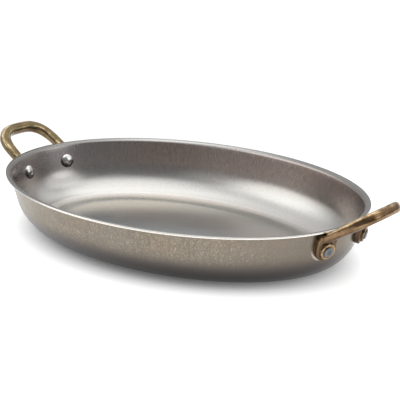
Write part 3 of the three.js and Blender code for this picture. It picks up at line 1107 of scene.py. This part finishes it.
# %% Aged brass: rubbing and painted highlight
BAR_PULL = (0.16, 1.0, 1.0)
HANDLED_BAND = (38 * MM, 52 * MM)
HIGHLIGHT_FACING_UP = (0.05, -0.45)
RUBBED_BEND = (0.10, 0.27)
RUBBED_LOW = 0.12
RING_TOP = (0.5, 0.95)
RING_PATCH = (0.35, 0.60)
RING_BEND = (0.06, 0.24)

brass, shader, shade = finish("aged_brass", METAL)
where = shade.place()
wear = shade.mark("wear")
under = shade.mark("under")
patch = shade.noise(where, 120.0, detail=4.0, roughness=0.65)
streak = shade.pulled(shade.mark("on_bar", "Vector"), 520.0, BAR_PULL)
mottle = shade.noise(where, 480.0, roughness=0.65)
pits = shade.noise(where, 1100.0)
handled = shade.axis(where, "Z").between(*HANDLED_BAND)
rub_and_highlight = (wear + 0.35 * (patch - 0.5) + 0.30 * (streak - 0.5)).between(*RUBBED_BEND)
# painted highlight: the rubbed brass is kept to faces that look upwards
rub_and_highlight = rub_and_highlight * (RUBBED_LOW + 0.83 * handled) * (RUBBED_LOW + 0.88 * under.between(*HIGHLIGHT_FACING_UP))
ring_edge = 0.35 + 0.65 * wear.between(*RING_BEND)
ring_rubbed = shade.mark("ring").between(*RING_TOP) * mottle.between(*RING_PATCH) * ring_edge
print("rubbing grows between", [round(level, 4) for level in HANDLED_BAND], "m up")

# %% [markdown]
# ## Aged brass: its tones
# The brass is olive on the left handle and coppery on the right one, with dark hollows, dark streaks and an
# underside darkened by tarnish and painted shade. Each back lug is darkened with painted shade as well.
# Two materials could carry the two colours, but one that changes along the dish keeps everything else the
# same.

# %% Aged brass: tones
PATCH_SPREAD = (0.35, 0.65)
OLIVE_DARK = tone(0.170, 0.130, 0.068)
OLIVE_PALE = tone(0.235, 0.178, 0.095)
COPPER_DARK = tone(0.215, 0.130, 0.068)
COPPER_PALE = tone(0.335, 0.210, 0.114)
OLIVE_TO_COPPER = (-100 * MM, 100 * MM)
LUG_FRONT = tone(0.172, 0.116, 0.064)
LUG_BACK_SHADE = tone(0.085, 0.055, 0.038)
FRONT_TO_BACK = (-10 * MM, 20 * MM)
STREAK_SPREAD = (0.50, 0.36)
STREAK_DARK = tone(0.105, 0.068, 0.034)
FACING_DOWN = (0.0, 0.45)
TARNISH_AND_SHADE = tone(0.100, 0.064, 0.038)
HOLLOW_BEND = (-0.45, -0.08)
HOLLOW_DARK = tone(0.060, 0.036, 0.018)
RUB_AND_HIGHLIGHT_BRASS = tone(0.74, 0.590, 0.345)
RUBBED_RING = tone(0.58, 0.390, 0.215)
BRASS_ROUGHNESS = 0.20
BRASS_BUMP = {"strength": 0.10, "distance": 0.3 * MM}

olive = patch.between(*PATCH_SPREAD).mix(OLIVE_DARK, OLIVE_PALE)
copper = patch.between(*PATCH_SPREAD).mix(COPPER_DARK, COPPER_PALE)
aged = shade.axis(where, "X").between(*OLIVE_TO_COPPER).mix(olive, copper)
# painted shade: the back lug is darker than the front one
lug_tone_with_shade = shade.axis(where, "Y").between(*FRONT_TO_BACK).mix(LUG_FRONT, LUG_BACK_SHADE)
aged = handled.mix(lug_tone_with_shade, aged)
aged = (0.6 * streak.between(*STREAK_SPREAD)).mix(aged, STREAK_DARK)
# tarnish and painted shade: the brass darkens as it faces down
aged = (0.9 * under.between(*FACING_DOWN)).mix(aged, TARNISH_AND_SHADE)
hollow = (wear + 0.25 * (pits - 0.5)).between(*HOLLOW_BEND)
colour = hollow.mix(HOLLOW_DARK, aged)
colour = rub_and_highlight.mix(colour, RUB_AND_HIGHLIGHT_BRASS)
feed(shader, {
    "Base Color": (0.8 * ring_rubbed).mix(colour, RUBBED_RING),
    "Roughness": BRASS_ROUGHNESS - 0.05 * rub_and_highlight + 0.12 * (pits - 0.5),
    "Normal": shade.bump(pits + mottle, **BRASS_BUMP),
})
handle.data.materials.append(brass)
print("brass:", brass.name, "with", len(brass.node_tree.nodes), "nodes")

# %% [markdown]
# ## The second handle
# Both ends carry the same casting. It could be mirrored, but that turns the faces of a mesh inside out. So
# the finished handle is copied with a mesh of its own, and turned by half about the middle of the dish.

# %% The second handle
def copy_to(piece, name, matrix):
    """A copy of a piece with a mesh of its own, in another place."""
    copy = piece.copy()
    copy.data = piece.data.copy()
    copy.name = name
    scene.collection.objects.link(copy)
    place(copy, matrix)
    return copy


handle_left = copy_to(handle, "handle_grip_left", HALF_TURN)
print("left handle reaches", round(min(corner.co.x for corner in handle_left.data.vertices), 4), "m")

# %% [markdown]
# ## Rivet steel
# The domed heads inside are polished, and darker at the rim and on the lower side, where grime that a
# cloth doesn't reach and painted shade are laid in together. The ends outside were hammered and stayed
# dark and dented. The dents could be sculpted, but they are tiny, so a bump is enough. How near a point
# is to the rim is kept on the mesh, in the next step.

# %% Rivet steel
HEAD_DIAMETER = 13.0 * MM
GRIME_AND_SHADE_SPREAD = (0.20, 0.75)
HEAD_CLEAN = tone(0.72, 0.71, 0.70)
HEAD_GRIME_AND_SHADE = tone(0.110, 0.102, 0.098)
HEAD_ROUGHNESS = 0.08
DENT_SPREAD = (0.3, 0.9)
DENT_DARK = tone(0.088, 0.100, 0.114)
DENT_PALE = tone(0.205, 0.212, 0.218)
DENT_ROUGHNESS = 0.36
DENT_BUMP = {"strength": 0.6, "distance": 0.5 * MM}

polished, shader, shade = finish("polished_rivet", METAL)
where = shade.place()
below = (rivet_height - shade.axis(where, "Z")) * (2 / HEAD_DIAMETER)
scuff = shade.noise(where, 900.0)
# grime and painted shade: darker at the rim and towards the lower side
grime_and_shade = (0.75 * shade.mark("rim") + 0.55 * below + 0.25 * (scuff - 0.5)).between(*GRIME_AND_SHADE_SPREAD)
feed(shader, {
    "Base Color": grime_and_shade.mix(HEAD_CLEAN, HEAD_GRIME_AND_SHADE),
    "Roughness": HEAD_ROUGHNESS + 0.08 * scuff + 0.12 * grime_and_shade,
})
hammered, shader, shade = finish("hammered_rivet", METAL)
dent = shade.noise(shade.place(), 420.0, detail=2.0, roughness=0.5)
worn = (0.6 * dent + 0.9 * shade.mark("rim")).between(*DENT_SPREAD)
feed(shader, {
    "Base Color": worn.mix(DENT_DARK, DENT_PALE),
    "Roughness": DENT_ROUGHNESS + 0.2 * dent,
    "Normal": shade.bump(dent, **DENT_BUMP),
})
print("rivets:", polished.name, "and", hammered.name)

# %% [markdown]
# ## One rivet and its copies
# A solid rivet has a domed head inside the dish, a shank through wall and lug, and an end that was hammered
# flat over the raised ring. It could be put together from primitives, but a turned piece has no inner
# faces. One is drawn from rings, gets both finishes, and is copied to the four places.

# %% One rivet and its copies
HEAD_HEIGHT = 3.2 * MM
HEAD_SEAT = 1.75 * MM
DOME_STEPS = 14
TAIL_DIAMETER = 8.6 * MM
TAIL_HEIGHT = 1.0 * MM
TAIL_SEAT = LUG_THICKNESS + BOSS_HEIGHT + 0.05 * MM
TAIL_SHAPE = ((0.94, 0.0), (1.0, 0.18), (1.0, 0.5), (0.95, 0.78), (0.82, 0.93), (0.55, 0.99), (0.25, 1.0))

rivet_section = []
for step in range(1, DOME_STEPS + 1):
    turn = math.pi / 2 * step / DOME_STEPS
    radius = HEAD_DIAMETER / 2 * math.sin(turn)
    rivet_section.append((radius, radius, -HEAD_SEAT - HEAD_HEIGHT * math.cos(turn)))
for level in (-HEAD_SEAT, TAIL_SEAT):
    rivet_section.append((SHANK_DIAMETER / 2, SHANK_DIAMETER / 2, level))
for share, rise in TAIL_SHAPE:
    radius = TAIL_DIAMETER / 2 * share
    rivet_section.append((radius, radius, TAIL_SEAT + TAIL_HEIGHT * rise))
rivet = rings("rivet", rivet_section, TURNED_SIDES, "NGON")
smooth(rivet, 50)
rivet.data.materials.append(polished)
rivet.data.materials.append(hammered)
for face in rivet.data.polygons:
    face.material_index = 1 if face.center.z > 0 else 0
mark = rivet.data.attributes.new("rim", "FLOAT", "POINT")
mark.data.foreach_set("value", [2 * corner.co.xy.length / HEAD_DIAMETER for corner in rivet.data.vertices])
print("rivet has", len(rivet.data.polygons), "faces and is", round(rivet.dimensions.z, 4), "m long")

rivets = {}
for node, matrix in RIVET_PLACES.items():
    rivets[node] = copy_to(rivet, node.replace("rivet", "rivet_solid"), matrix)
bpy.data.objects.remove(rivet)

# %% [markdown]
# ## Handing over
# Nothing on the dish moves. Pieces could ride on nodes of their own, but then they would only repeat the
# root, so each one rides on that and takes the place of its packed solid.

# %% Ride and replace
dressed = [
    (dish, "dish_shell", "dish_steel"),
    (handle, "handle_right", "handle_brass"),
    (handle_left, "handle_left", "handle_brass"),
]
dressed += [(piece, node, "rivet_steel") for node, piece in rivets.items()]
for piece, node, slot in dressed:
    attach(piece, "root")
    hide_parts(node)
